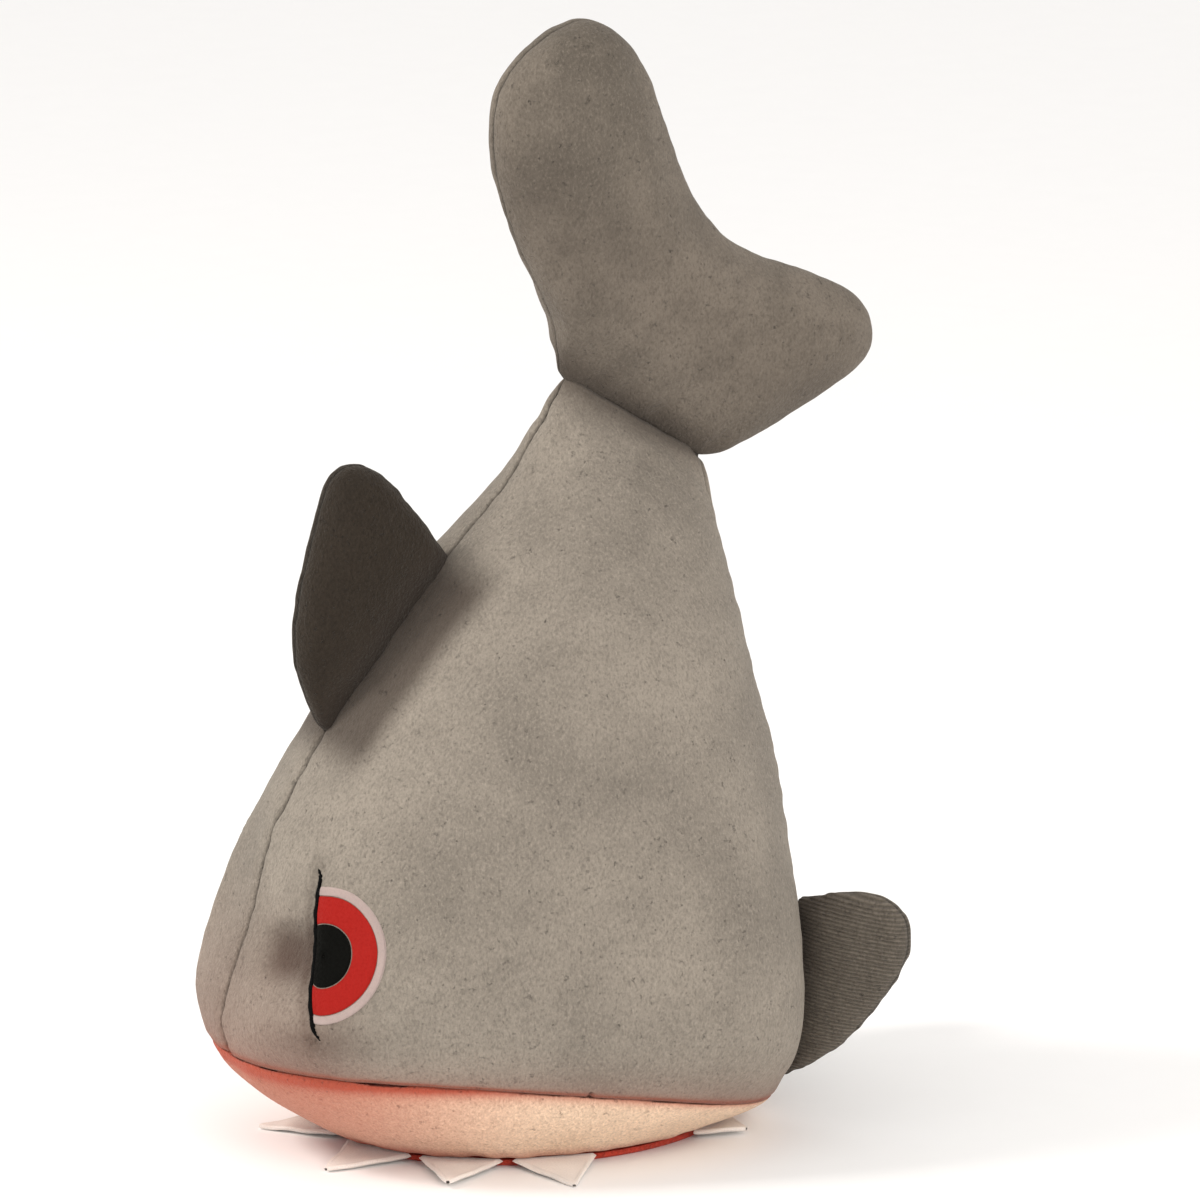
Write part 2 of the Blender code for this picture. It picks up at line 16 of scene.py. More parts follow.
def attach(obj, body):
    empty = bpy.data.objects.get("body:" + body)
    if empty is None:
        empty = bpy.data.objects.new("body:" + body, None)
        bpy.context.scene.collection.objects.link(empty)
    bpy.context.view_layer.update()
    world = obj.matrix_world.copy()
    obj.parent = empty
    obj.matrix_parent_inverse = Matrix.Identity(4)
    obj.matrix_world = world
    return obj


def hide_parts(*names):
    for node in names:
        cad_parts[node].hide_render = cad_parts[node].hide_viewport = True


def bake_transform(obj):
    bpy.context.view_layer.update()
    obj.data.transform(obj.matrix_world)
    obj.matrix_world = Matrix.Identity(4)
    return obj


MM = 0.001

# The body's cross-sections, as in the CAD: back (x, z), belly (x, z), half width, squareness, narrowing.
BODY_SECTIONS = [
    (-173, 58, 119, 14, 113, 2.5, 0.17),
    (-175, 84, 127, 52, 122, 2.9, 0.20),
    (-158, 132, 130, 100, 124, 2.6, 0.18),
    (-146, 173, 132, 143, 118, 2.2, 0.12),
    (-121, 216, 130, 183, 107, 2.0, 0.05),
    (-86, 261, 121.5, 224, 92, 2.0, 0.0),
    (-51, 304, 112.5, 266, 71, 2.0, 0.0),
    (-13, 345, 103.5, 306, 44, 2.0, 0.0),
    (17, 393, 98, 343, 9, 2.2, 0.0),
]
HEM_LIFT = 10.5
HEM_LIFT_END = 0.3
BELLY_SEAM = math.radians(21)
DART_ANGLE = math.radians(-87)  # a small tuck in the hem on each side
DART_HEIGHT = 10

MOUTH = (96, 74)
CROWN = (MOUTH[0] + 4, MOUTH[1] + 6)
DOME_START = 95
DOME_HEIGHT = 72
REST_RIM = 7.5
TOOTH_LINE = (MOUTH[0] + 13, MOUTH[1] + 11)
LIP_BOTTOM = 6.0
LIP_STRAIGHTNESS = 0.62

EYE_PLACE = (0.226, math.radians(-145.5))
EYE_FACING = math.radians(-52)
EYE_LEAN = math.radians(7)
EYE_WHITE_RADIUS = 33.4
IRIS_RADIUS = 29
PUPIL_RADIUS = 15.5
BROW_HALF_LENGTH = 42
BROW_BOW = 4.0
BROW_CUT = 4.2
BROW_WIDTH = 2.8

# How the stuffed pieces are swelled
BODY_INSET = 0.6  # how far the body's cloth starts inside the CAD's surface
BODY_SWELL = 2.6
LIMB_VOXEL = 4.5
LIMB_SWELL = 3.0
LIMB_PLUMP = 1.8  # how far the finished cloth stands out, to make up for the smoothing
LIMB_SMOOTHING = 6
PRESSURE = 4.0
CLOTH_FRAMES = 20
CLOTH_STIFFNESS = 15
SMOOTH_IN = 0.5
SMOOTH_OUT = -0.52  # a little more than SMOOTH_IN, so that smoothing doesn't shrink a piece

# Seams, hem and the cloth round the eyes
BODY_LENGTH = 400  # about how far the cloth runs from the hem to the neck
SEAM_DEPTH = 1.7
SEAM_GATHER = 0.9
HEM_DEPTH = 0.9
DART_DEPTH = 1.6
BROW_DEPTH = 1.2
HOLLOW_DEPTH = 5.0  # the dent in front of the left brow
FAR_PUFF = 4.5  # the right side's cloth stands out there instead
# painted shade: the strength of the painted fin shadow and of the painted shade in the brow hollow
SHADE_AT_FIN = 0.85
SHADE_AT_HOLLOW = 0.95
RIB_SPACING = 2.0
FELT_HALF_THICKNESS = 1.15

# Camera
CAMERA_AZIMUTH = math.radians(-25)
CAMERA_ELEVATION = math.radians(14)
CAMERA_DISTANCE = 6000
CAMERA_LENS = 347.5
AIM_RIGHT = 35.2  # where the camera looks, right of and above the origin in the picture
AIM_UP = 268.8

# Colours
# painted shade: the dark colour that shaded places are mixed towards
PAINTED_SHADE_BROWN = (0.060, 0.044, 0.034)
GRAY = (0.262, 0.228, 0.188)
DARK_GRAY = (0.172, 0.146, 0.116)
# the dorsal fin's darker fabric, made darker still by painted shade on its face
DORSAL_GRAY_AND_PAINTED_SHADE = (0.024, 0.017, 0.011)
TAIL_GRAY = (0.172, 0.145, 0.116)
CREAM = (0.84, 0.62, 0.45)
RED_LINING = (0.50, 0.050, 0.028)
# painted reflected light: red light bounced up from below, mixed into the gray and the cream velvet
PAINTED_RED_LIGHT_GRAY = (0.30, 0.105, 0.070)
PAINTED_RED_LIGHT_CREAM = (0.42, 0.060, 0.030)
FELT_WHITE = (0.95, 0.88, 0.82)
SATIN_WHITE = (0.78, 0.60, 0.55)
SATIN_RED = (0.47, 0.016, 0.011)
SATIN_BLACK = (0.004, 0.004, 0.003)
BROW_BLACK = (0.004, 0.004, 0.004)
DARK_THREAD = (0.012, 0.010, 0.008)
SHEEN_TINT = (1.0, 0.93, 0.84)


# ---------------------------------------------------------------- numbers on grids

def smooth_step(values, low, high):
    t = np.clip((values - low) / (high - low), 0, 1)
    return t * t * (3 - 2 * t)


def bump_shape(values, width):
    return np.exp(-(values / width) ** 2)


def catmull(values, positions, wraps=False):
    """Smooth values between equally spaced rows; positions are in rows."""
    count = len(values)
    base = np.floor(positions).astype(int)
    if not wraps:
        base = np.clip(base, 0, count - 2)
    t = (positions - base).reshape((-1,) + (1,) * (values.ndim - 1))

    def row(shift):
        index = base + shift
        return values[index % count] if wraps else values[np.clip(index, 0, count - 1)]

    before, start, end, after = row(-1), row(0), row(1), row(2)
    linear = (end - before) / 2
    square = before - 2.5 * start + 2 * end - after / 2
    cube = (after - before) / 2 + 1.5 * (start - end)
    return start + t * (linear + t * (square + t * cube))


def ripple(points, wavelength, seed):
    """A smooth wavy field over points, about -1 to 1, without repeats."""
    chance = np.random.default_rng(seed)
    waves = 12
    directions = chance.normal(size=(waves, 3))
    directions /= np.linalg.norm(directions, axis=1)[:, None]
    lengths = wavelength * chance.uniform(0.7, 1.4, waves)
    starts = chance.uniform(0, 2 * math.pi, waves)
    phases = points @ (directions / lengths[:, None]).T * 2 * math.pi + starts
    return np.sin(phases).sum(-1) / math.sqrt(waves)


def grid_normals(grid, wraps=True):
    """Outward normals of a grid whose columns go round the body and whose rows go up."""
    if wraps:
        across = np.roll(grid, -1, 1) - np.roll(grid, 1, 1)
    else:
        across = np.gradient(grid, axis=1)
    up = np.gradient(grid, axis=0)
    normals = np.cross(across, up)
    return normals / np.maximum(np.linalg.norm(normals, axis=-1), 1e-9)[..., None]


def grid_faces(rows, columns, wraps=True):
    index = np.arange(rows * columns).reshape(rows, columns)
    across = np.roll(index, -1, 1) if wraps else index[:, 1:]
    here = index if wraps else index[:, :-1]
    quads = np.stack([here[:-1], across[:-1], across[1:], here[1:]], -1)
    return quads.reshape(-1, 4)


# ---------------------------------------------------------------- meshes

def new_mesh(name, points, faces, scale=MM):
    mesh = bpy.data.meshes.new(name)
    mesh.from_pydata((np.asarray(points) * scale).tolist(), [], [tuple(face) for face in faces])
    mesh.update()
    return mesh


def mesh_points(mesh):
    flat = np.zeros(len(mesh.vertices) * 3)
    mesh.vertices.foreach_get("co", flat)
    return flat.reshape(-1, 3) / MM


def evaluated(piece):
    """Points and faces of an object with its modifiers applied."""
    solved = piece.evaluated_get(bpy.context.evaluated_depsgraph_get())
    mesh = solved.to_mesh()
    points = mesh_points(mesh)
    faces = [tuple(polygon.vertices) for polygon in mesh.polygons]
    solved.to_mesh_clear()
    return points, faces


def scratch_object(points, faces):
    piece = bpy.data.objects.new("scratch", new_mesh("scratch", points, faces))
    bpy.context.scene.collection.objects.link(piece)
    return piece


def discard(piece):
    mesh = piece.data
    bpy.data.objects.remove(piece)
    bpy.data.meshes.remove(mesh)


def add_piece(name, points, faces, look, fields=None):
    """A smooth shaded piece; fields are named values per point that its material reads."""
    mesh = new_mesh(name, points, faces)
    mesh.shade_smooth()
    for field, values in (fields or {}).items():
        layer = mesh.attributes.new(field, "FLOAT", "POINT")
        layer.data.foreach_set("value", np.asarray(values, np.float32).ravel())
    mesh.materials.append(look)
    piece = bpy.data.objects.new(name, mesh)
    bpy.context.scene.collection.objects.link(piece)
    return piece


def swell(points, faces, held, most):
    """The points after Blender's cloth has been blown up; held is 1 where the cloth is sewn down."""
    piece = scratch_object(points, faces)
    pins = piece.vertex_groups.new(name="sewn")
    for index in np.flatnonzero(held):
        pins.add([int(index)], float(held[index]), "REPLACE")
    cloth = piece.modifiers.new("cloth", "CLOTH")
    cloth.settings.use_pressure = True
    cloth.settings.uniform_pressure_force = PRESSURE
    cloth.settings.effector_weights.gravity = 0
    cloth.settings.vertex_group_mass = "sewn"
    cloth.settings.quality = 5
    cloth.settings.tension_stiffness = CLOTH_STIFFNESS
    cloth.settings.compression_stiffness = CLOTH_STIFFNESS
    cloth.settings.bending_stiffness = 0.5
    cloth.point_cache.frame_start = 1
    cloth.point_cache.frame_end = CLOTH_FRAMES
    scene = bpy.context.scene
    for frame_number in range(1, CLOTH_FRAMES + 1):
        scene.frame_set(frame_number)
    blown, _ = evaluated(piece)
    scene.frame_set(1)
    discard(piece)
    move = blown - points
    length = np.linalg.norm(move, axis=1)[:, None]
    return points + move * most * np.tanh(length / most) / np.maximum(length, 1e-9)


def smoothed(points, faces, rounds):
    """The points with the steps of the remesh smoothed out; every second round swells them back."""
    edges = np.concatenate([faces[:, [0, 1]], faces[:, [1, 2]], faces[:, [2, 3]], faces[:, [3, 0]]])
    counts = np.bincount(edges[:, 0], minlength=len(points)) + np.bincount(edges[:, 1], minlength=len(points))
    for number in range(2 * rounds):
        total = np.zeros_like(points)
        np.add.at(total, edges[:, 0], points[edges[:, 1]])
        np.add.at(total, edges[:, 1], points[edges[:, 0]])
        mean = total / counts[:, None]
        points = points + (mean - points) * (SMOOTH_IN if number % 2 == 0 else SMOOTH_OUT)
    return points


def point_normals(points, faces):
    piece = scratch_object(points, faces)
    normals = np.zeros(len(points) * 3)
    piece.data.vertices.foreach_get("normal", normals)
    discard(piece)
    return normals.reshape(-1, 3)


def subdivided(points, faces, levels):
    piece = scratch_object(points, faces)
    piece.modifiers.new("finer", "SUBSURF").levels = levels
    result = evaluated(piece)
    discard(piece)
    return result


# ---------------------------------------------------------------- materials

class Nodes:
    """A short way to write a material's nodes."""

    def __init__(self, name):
        self.material = bpy.data.materials.new(name)
        self.material.use_nodes = True
        self.tree = self.material.node_tree
        self.shader = self.tree.nodes["Principled BSDF"]

    def put(self, socket, value):
        if isinstance(value, bpy.types.NodeSocket):
            self.tree.links.new(value, socket)
        else:
            socket.default_value = value

    def add(self, kind, output=0, settings=None, **inputs):
        made = self.tree.nodes.new(kind)
        for key, value in (settings or {}).items():
            setattr(made, key, value)
        for key, value in inputs.items():
            self.put(made.inputs[key.replace("_", " ")], value)
        return made.outputs[output]

    def place(self):
        return self.add("ShaderNodeTexCoord", output="Object")

    def field(self, name):
        return self.add("ShaderNodeAttribute", output="Fac", settings={"attribute_name": name})

    def noise(self, scale, detail=2.0, roughness=0.5, vector=None):
        where = vector or self.place()
        return self.add("ShaderNodeTexNoise", Vector=where, Scale=scale, Detail=detail, Roughness=roughness)

    def span(self, value, low, high, to_low=0.0, to_high=1.0):
        made = self.tree.nodes.new("ShaderNodeMapRange")
        self.put(made.inputs["Value"], value)
        self.put(made.inputs["From Min"], low)
        self.put(made.inputs["From Max"], high)
        self.put(made.inputs["To Min"], to_low)
        self.put(made.inputs["To Max"], to_high)
        return made.outputs[0]

    def math(self, operation, one, other=0.0):
        made = self.tree.nodes.new("ShaderNodeMath")
        made.operation = operation
        self.put(made.inputs[0], one)
        self.put(made.inputs[1], other)
        return made.outputs[0]

    def mix(self, share, one, other):
        made = self.tree.nodes.new("ShaderNodeMix")
        made.data_type = "RGBA"
        self.put(made.inputs[0], share)
        for socket, value in ((made.inputs[6], one), (made.inputs[7], other)):
            self.put(socket, value if isinstance(value, bpy.types.NodeSocket) else (*value, 1.0))
        return made.outputs[2]

    def bump(self, height, distance, strength=1.0, normal=None):
        made = self.tree.nodes.new("ShaderNodeBump")
        self.put(made.inputs["Height"], height)
        self.put(made.inputs["Distance"], distance)
        self.put(made.inputs["Strength"], strength)
        if normal:
            self.put(made.inputs["Normal"], normal)
        return made.outputs[0]

    def finish(self, color, roughness, normal, sheen=0.0, sheen_tint=(1, 1, 1), specular=0.25):
        self.put(self.shader.inputs["Base Color"], color)
        self.put(self.shader.inputs["Roughness"], roughness)
        self.put(self.shader.inputs["Normal"], normal)
        self.shader.inputs["Specular IOR Level"].default_value = specular
        self.shader.inputs["Sheen Weight"].default_value = sheen
        self.shader.inputs["Sheen Roughness"].default_value = 0.45
        self.shader.inputs["Sheen Tint"].default_value = (*sheen_tint, 1.0)
        return self.material


def shade(color, factor):
    return tuple(channel * factor for channel in color)


def velvet(name, color, painted_light_color, contrast=1.0, ribbed=False):
    """Short-pile velvet: faint clouds of brushed nap, a slanting grain, pits between tufts with painted shade
    in them, dark seams, and painted shade and painted red light from the points' fields.
    """
    nodes = Nodes(name)
    lean = (0.0, math.radians(35), 0.0)
    slant = nodes.add("ShaderNodeMapping", Vector=nodes.place(), Rotation=lean, Scale=(1.0, 1.0, 0.65))
    clouds = nodes.noise(13, 2, 0.5)
    patches = nodes.noise(55, 4, 0.6)
    tufts = nodes.noise(330, 3, 0.6, slant)
    grain = nodes.noise(760, 3, 0.7, slant)
    pits = nodes.noise(260, 2, 0.8)
    dark, light = shade(color, 1 - 0.16 * contrast), shade(color, 1 + 0.16 * contrast)
    tone = nodes.mix(nodes.span(clouds, 0.36, 0.64), dark, light)
    tone = nodes.mix(nodes.span(patches, 0.5, 0.7, 0, 0.30 * contrast), tone, shade(color, 0.70))
    tone = nodes.mix(nodes.span(patches, 0.28, 0.46, 0.22 * contrast, 0), tone, shade(color, 1.30))
    tone = nodes.mix(nodes.span(tufts, 0.52, 0.68, 0, 0.35), tone, shade(color, 0.62))
    tone = nodes.mix(nodes.span(grain, 0.50, 0.66, 0, 0.45), tone, shade(color, 0.50))
    tone = nodes.mix(nodes.span(grain, 0.32, 0.46, 0.45, 0), tone, shade(color, 1.50))
    deep = nodes.span(pits, 0.66, 0.72)
    # painted shade: the pits between tufts are also darkened in colour
    tone = nodes.mix(nodes.math("MULTIPLY", deep, 0.35), tone, shade(color, 0.35))
    normal = nodes.bump(patches, 0.0022, 0.5)
    normal = nodes.bump(tufts, 0.0018, 0.7, normal)
    normal = nodes.bump(deep, -0.0009, 0.8, normal)
    if ribbed:
        wave = nodes.math("SINE", nodes.math("MULTIPLY", nodes.field("rib"), 2 * math.pi))
        tone = nodes.mix(nodes.span(wave, -1, 0.6, 0.55, 0), tone, shade(color, 0.35))
        normal = nodes.bump(wave, 0.0006, 0.9, normal)
    # painted shade: the "shade" field mixes in a dark colour beside the dorsal fin, in the brow hollow, at the
    # neck and at the fins' roots
    tone = nodes.mix(nodes.field("shade"), tone, PAINTED_SHADE_BROWN)
    # painted reflected light: the red glow bounced up from below, mixed in by the points' field
    tone = nodes.mix(nodes.field("painted_red_light"), tone, painted_light_color)
    tone = nodes.mix(nodes.field("seam"), tone, shade(color, 0.10))
    normal = nodes.bump(grain, 0.0013, 0.9, normal)
    roughness = nodes.span(grain, 0.3, 0.7, 0.8, 0.98)
    return nodes.finish(tone, roughness, normal, sheen=0.10, sheen_tint=SHEEN_TINT)


def felt(name, color):
    """Pressed felt: matted fibres, slight stains and a rough surface."""
    nodes = Nodes(name)
    stain = nodes.noise(60, 3)
    mat = nodes.noise(1500, 4, 0.75)
    tone = nodes.mix(nodes.span(stain, 0.4, 0.7, 0, 0.5), color, shade(color, 0.82))
    tone = nodes.mix(nodes.span(mat, 0.45, 0.7, 0, 0.45), tone, shade(color, 0.66))
    tone = nodes.mix(nodes.field("seam"), tone, shade(color, 0.45))
    normal = nodes.bump(mat, 0.0006, 0.8)
    return nodes.finish(tone, nodes.span(mat, 0.3, 0.7, 0.85, 1.0), normal, sheen=0.15)


def thread(name, color, sheen=0.15, contrast=0.4, specular=0.25):
    """Satin stitch: rows of glossy thread, from a field that counts them."""
    nodes = Nodes(name)
    wave = nodes.math("SINE", nodes.math("MULTIPLY", nodes.field("thread"), 2 * math.pi))
    uneven = nodes.noise(700, 2)
    tone = nodes.mix(nodes.span(wave, -1, 0.2, contrast, 0), color, shade(color, 0.55))
    tone = nodes.mix(nodes.span(uneven, 0.5, 0.7, 0, 0.35), tone, shade(color, 0.75))
    normal = nodes.bump(wave, 0.0003, 0.8, nodes.bump(uneven, 0.0005, 0.4))
    return nodes.finish(tone, nodes.span(uneven, 0.3, 0.7, 0.5, 0.75), normal, sheen=sheen, specular=specular)


# ---------------------------------------------------------------- body

def body_surface(shares, angles, inset=0.0):
    """A grid of the body's points; angle 0 is the belly, 180 degrees the back, negative the left side."""
    knots = np.array(BODY_SECTIONS, float)
    rows = catmull(knots, np.asarray(shares) * (len(knots) - 1))
    back_x, back_z, belly_x, belly_z, half_width, squareness, narrowing = rows.T[:, :, None]
    c, s = np.cos(angles)[None], np.sin(angles)[None]
    reach = (abs(c) ** squareness + abs(s) ** squareness) ** (-1 / squareness)
    across_x, across_z = (belly_x - back_x) / 2, (belly_z - back_z) / 2
    trim = (1 - inset / np.hypot(across_x, across_z)) * reach * c
    fade = np.maximum(0, 1 - np.asarray(shares) / HEM_LIFT_END)[:, None] ** 2
    x = (back_x + belly_x) / 2 + across_x * trim
    y = (half_width - inset) * reach * s * (1 + narrowing * c)
    z = (back_z + belly_z) / 2 + across_z * trim + HEM_LIFT * fade * s * s
    return np.stack([x, y, z], -1)


def eye_axes():
    """The left eye's centre, its directions towards the belly and up, and the way it faces."""
    share, angle = EYE_PLACE
    centre = body_surface([share], np.array([angle]))[0, 0]
    facing = np.array((math.sin(EYE_FACING), -math.cos(EYE_FACING), 0))
    level = np.cross((0, 0, 1), facing)
    towards_belly = level * math.cos(EYE_LEAN) + np.array((0, 0, math.sin(EYE_LEAN)))
    return centre, towards_belly, np.cross(facing, towards_belly), facing


def brow_line(height):
    return -BROW_CUT - BROW_BOW * (1 - (height / BROW_HALF_LENGTH) ** 2)


def mirror_both(grid):
    """The mean of a grid and its mirror image; column 0 is the back and the columns go round evenly."""
    twin = np.roll(grid[:, ::-1], 1, axis=1) * (1, -1, 1)
    return (grid + twin) / 2


def swelled_body():
    """The body's grid after swelling: even rows and columns, mirrored left and right."""
    row_count, column_count = 74, 152
    shares = np.linspace(0, 1, row_count)
    angles = -math.pi + 2 * math.pi * np.arange(column_count) / column_count
    grid = body_surface(shares, angles, BODY_INSET)
    held = np.zeros((row_count, column_count))
    held[0] = 1
    held[-1] = 1
    for seam in (-math.pi, -BELLY_SEAM, BELLY_SEAM):
        held[:, np.argmin(abs(angles - seam))] = 1
    points = grid.reshape(-1, 3)
    ends = np.array([grid[0].mean(0), grid[-1].mean(0)])
    faces = [tuple(face) for face in grid_faces(row_count, column_count)]
    bottom, top = len(points), len(points) + 1
    last = (row_count - 1) * column_count
    for column in range(column_count):
        after = (column + 1) % column_count
        faces.append((after, column, bottom))
        faces.append((last + column, last + after, top))
    held = np.concatenate([held.ravel(), (1, 1)])
    blown = swell(np.concatenate([points, ends]), faces, held, BODY_SWELL)
    return mirror_both(blown[:-2].reshape(grid.shape))


def seam_distance(grid, column):
    """How far each point is from the same row's point in one column."""
    return np.linalg.norm(grid - grid[:, column : column + 1], axis=-1)


def fine_angles():
    """Angles round the body, closer together at the seams."""
    even = -math.pi + 2 * math.pi * np.arange(360) / 360
    close = math.radians(0.25) * np.array((-6, -4.5, -3, -2, -1, 0, 1, 2, 3, 4.5, 6))
    near = np.concatenate([seam + close for seam in (-math.pi, -BELLY_SEAM, BELLY_SEAM)])
    near = np.concatenate([near, DART_ANGLE + close, -DART_ANGLE + close])
    near = np.where(near < -math.pi, near + 2 * math.pi, near)
    angles = np.unique(np.round(np.concatenate([even, near]), 5))
    return angles[angles < math.pi - 1e-4]


def make_body(look):
    """The body's velvet with its seams, hem, tucks and the cloth round its eyes, and its grid and angles."""
    coarse = swelled_body()
    angles = fine_angles()
    even, near_hem, near_neck = np.linspace(0, 1, 190), np.linspace(0, 0.05, 16), np.linspace(0.96, 1, 10)
    shares = np.unique(np.concatenate([even, near_hem, near_neck]))
    grid = catmull(coarse, shares * (len(coarse) - 1))
    turns = (angles + math.pi) / (2 * math.pi) * coarse.shape[1]
    grid = catmull(grid.transpose(1, 0, 2), turns, wraps=True).transpose(1, 0, 2)
    normals = grid_normals(grid)
    out = 0.35 * ripple(grid, 75, 3) + 0.16 * ripple(grid, 24, 4) + 0.07 * ripple(grid, 9, 5)
    seam = np.zeros(out.shape)
    hem = shares[:, None] * BODY_LENGTH
    for angle in (-math.pi, -BELLY_SEAM, BELLY_SEAM):
        distance = seam_distance(grid, int(np.argmin(abs(angles - angle))))
        path = np.stack([hem + 0 * distance, 0 * distance, 0 * distance], -1)
        gather = 1 + 0.35 * ripple(path, 13, 6)
        out -= SEAM_DEPTH * bump_shape(distance, 1.3) + SEAM_GATHER * gather * bump_shape(distance, 5)
        out += 0.35 * ripple(grid, 10, 7) * bump_shape(distance - 6, 5)
        seam = np.maximum(seam, 0.75 * bump_shape(distance, 0.9))
    neck = (1 - shares)[:, None]
    out -= 1.2 * bump_shape(neck, 0.012)
    out += 0.7 * ripple(grid, 15, 8) * bump_shape(neck - 0.05, 0.05)
    out -= HEM_DEPTH * bump_shape(hem, 4)
    for angle in (DART_ANGLE, -DART_ANGLE):
        distance = seam_distance(grid, int(np.argmin(abs(angles - angle))))
        fade = smooth_step(hem, DART_HEIGHT, DART_HEIGHT - 3)
        out -= DART_DEPTH * fade * bump_shape(distance, 1.3)
        seam = np.maximum(seam, 0.9 * fade * bump_shape(distance, 0.8))
    # painted reflected light: red glow from below along the hem and on the lower nose
    painted_red_light = 0.75 * bump_shape(hem, 7) + 0.30 * bump_shape(hem, 26)
    nose = smooth_step(-grid[..., 0], 120, 175)
    painted_red_light = np.clip(painted_red_light + 0.22 * nose * smooth_step(hem, 150, 20), 0, 1)
    # painted shade under the tail's overhang at the neck; the brow and fin shade are added below
    shadow = np.broadcast_to(0.65 * bump_shape(neck, 0.035), out.shape)
    for side, sunk in ((1, True), (-1, False)):
        push, dark = brow_relief(grid * (1, side, 1), sunk)
        out += push
        shadow = np.maximum(shadow, dark)
    shadow = np.maximum(shadow, fin_shadow(grid))
    grid = grid + normals * out[..., None]
    under = grid[:1] - (0, 0, 1)
    inward = -grid[0] * (1, 1, 0)
    inward /= np.linalg.norm(inward, axis=1)[:, None]
    hem_rows = [under[0] + inward * 3.2, under[0] + inward * 1.6 - (0, 0, 0.6), under[0] + inward * 0.4]
    middle = grid[-1].mean(0)
    neck_rows = []
    for scale, lift in ((0.75, 1.6), (0.45, 1.6), (0.12, -1.5)):
        ring = middle + (grid[-1] - middle) * (0.985, scale, 0.985)
        neck_rows.append(ring + np.array((0.5, 0, 0.85)) * lift)
    full = np.concatenate([np.array(hem_rows), grid, np.array(neck_rows)])

    def padded_field(values):
        return np.concatenate([values[:1]] * 3 + [values] + [values[-1:]] * 3)

    fields = {"seam": padded_field(seam), "painted_red_light": padded_field(painted_red_light), "shade": padded_field(shadow)}
    fields["seam"][:3] = 0.25
    fields["seam"][-3:] = 0.6
    piece = add_piece("body_velvet", full.reshape(-1, 3), grid_faces(*full.shape[:2]), look, fields)
    return piece, full, angles


def fin_shadow(grid):
    """How dark the painted shadow of the dorsal fin is on the body beside the fin's seam."""
    joint = joint_named("dorsal_fin_fold")
    local = grid - np.array(joint["pos_m"]) / MM
    axis = np.array(joint["axis"])
    along = local @ axis
    beside = np.hypot(local[..., 1], np.linalg.norm(local - along[..., None] * axis, axis=-1) / 2)
    ends = smooth_step(abs(along), 70, 45)
    return SHADE_AT_FIN * ends * smooth_step(beside, 54, 36)


def brow_relief(grid, sunk):
    """How the cloth round the left brow is pushed, and where painted shade darkens it; sunk is off for the
    right brow.
    """
    centre, towards_belly, up, facing = eye_axes()
    local = grid - centre
    x, y, depth = local @ towards_belly, local @ up, local @ facing
    near = smooth_step(depth, -60, -30)
    beside = x - brow_line(np.clip(y, -BROW_HALF_LENGTH, BROW_HALF_LENGTH))
    end = np.maximum(abs(y) - BROW_HALF_LENGTH, 0)
    stitch = np.hypot(beside, end)
    hollow = np.exp(-(abs(x + 24) / 17) ** 3) * np.exp(-(abs(y - 1) / 14) ** 3)
    puff_low = bump_shape(x + 22, 13) * bump_shape(y + 29, 11)
    puff_high = bump_shape(x + 20, 13) * bump_shape(y - 33, 12)
    fold = bump_shape(y - 17 - 0.25 * (x + 25), 2.5) * bump_shape(x + 24, 14)
    push = -BROW_DEPTH * bump_shape(stitch, 3.2)
    if sunk:
        push += 1.2 * fold + 2.0 * puff_low + 1.6 * puff_high
        push -= HOLLOW_DEPTH * hollow + 0.8 * bump_shape(stitch, 3.2)
    else:
        push += FAR_PUFF * bump_shape(beside + 13, 9) * bump_shape(y - 14, 34)
    push += 1.0 * bump_shape(beside - 9, 8) * bump_shape(y, 45)
    ends = bump_shape(np.hypot(beside, abs(y) - BROW_HALF_LENGTH - 1), 7)
    push += 1.1 * ends * np.sin(1.1 * x + 0.8 * y)
    # painted shade: in the hollow before the left brow, along the brow's stitch and below the eye
    dark = SHADE_AT_HOLLOW * sunk * hollow + 0.55 * bump_shape(beside + 3.8, 2.6) * bump_shape(y, 38)
    dark += 0.42 * bump_shape(x + 4, 34) * bump_shape(y + 42, 10)
    return push * near, np.clip(dark * near, 0, 0.9)


def make_stitches(full, angles, look):
    """Running stitches that show in the seam along the back and the two belly seams."""
    points, faces = [], []
    spacing, length, half_thickness = 5.2, 3.3, 0.42
    for angle in (-math.pi, -BELLY_SEAM, BELLY_SEAM):
        column = int(np.argmin(abs(angles - angle)))
        path = full[6:-6, column]
        normals = grid_normals(full)[6:-6, column]
        run = np.concatenate([[0], np.cumsum(np.linalg.norm(np.diff(path, axis=0), axis=1))])
        for number, start in enumerate(np.arange(2, run[-1] - length, spacing)):
            reach = length * (0.75 + 0.35 * math.sin(number * 2.3) ** 2)
            at = np.linspace(start, start + reach, 5)
            line = np.stack([np.interp(at, run, path[:, axis]) for axis in range(3)], -1)
            out = np.stack([np.interp(at, run, normals[:, axis]) for axis in range(3)], -1)
            side = np.cross(np.gradient(line, axis=0), out)
            side /= np.linalg.norm(side, axis=1)[:, None]
            taper = np.array((0.25, 0.9, 1, 0.9, 0.25))[:, None] * half_thickness
            first = len(points)
            for turn in np.arange(6) * math.pi / 3:
                points.extend(line + out * 0.25 + (side * math.cos(turn) + out * math.sin(turn)) * taper)
            for turn in range(6):
                for step in range(4):
                    a, b = first + turn * 5 + step, first + (turn + 1) % 6 * 5 + step
                    faces.append((a, b, b + 1, a + 1))
    count = len(points)
    return add_piece("seam_stitches", points, faces, look, {"thread": np.zeros(count)})


# ---------------------------------------------------------------- lip and lining

def ellipse(size, angles, outset=0.0):
    flat = [(size[0] + outset) * np.cos(angles), (size[1] + outset) * np.sin(angles), 0 * angles]
    return np.stack(flat, -1)


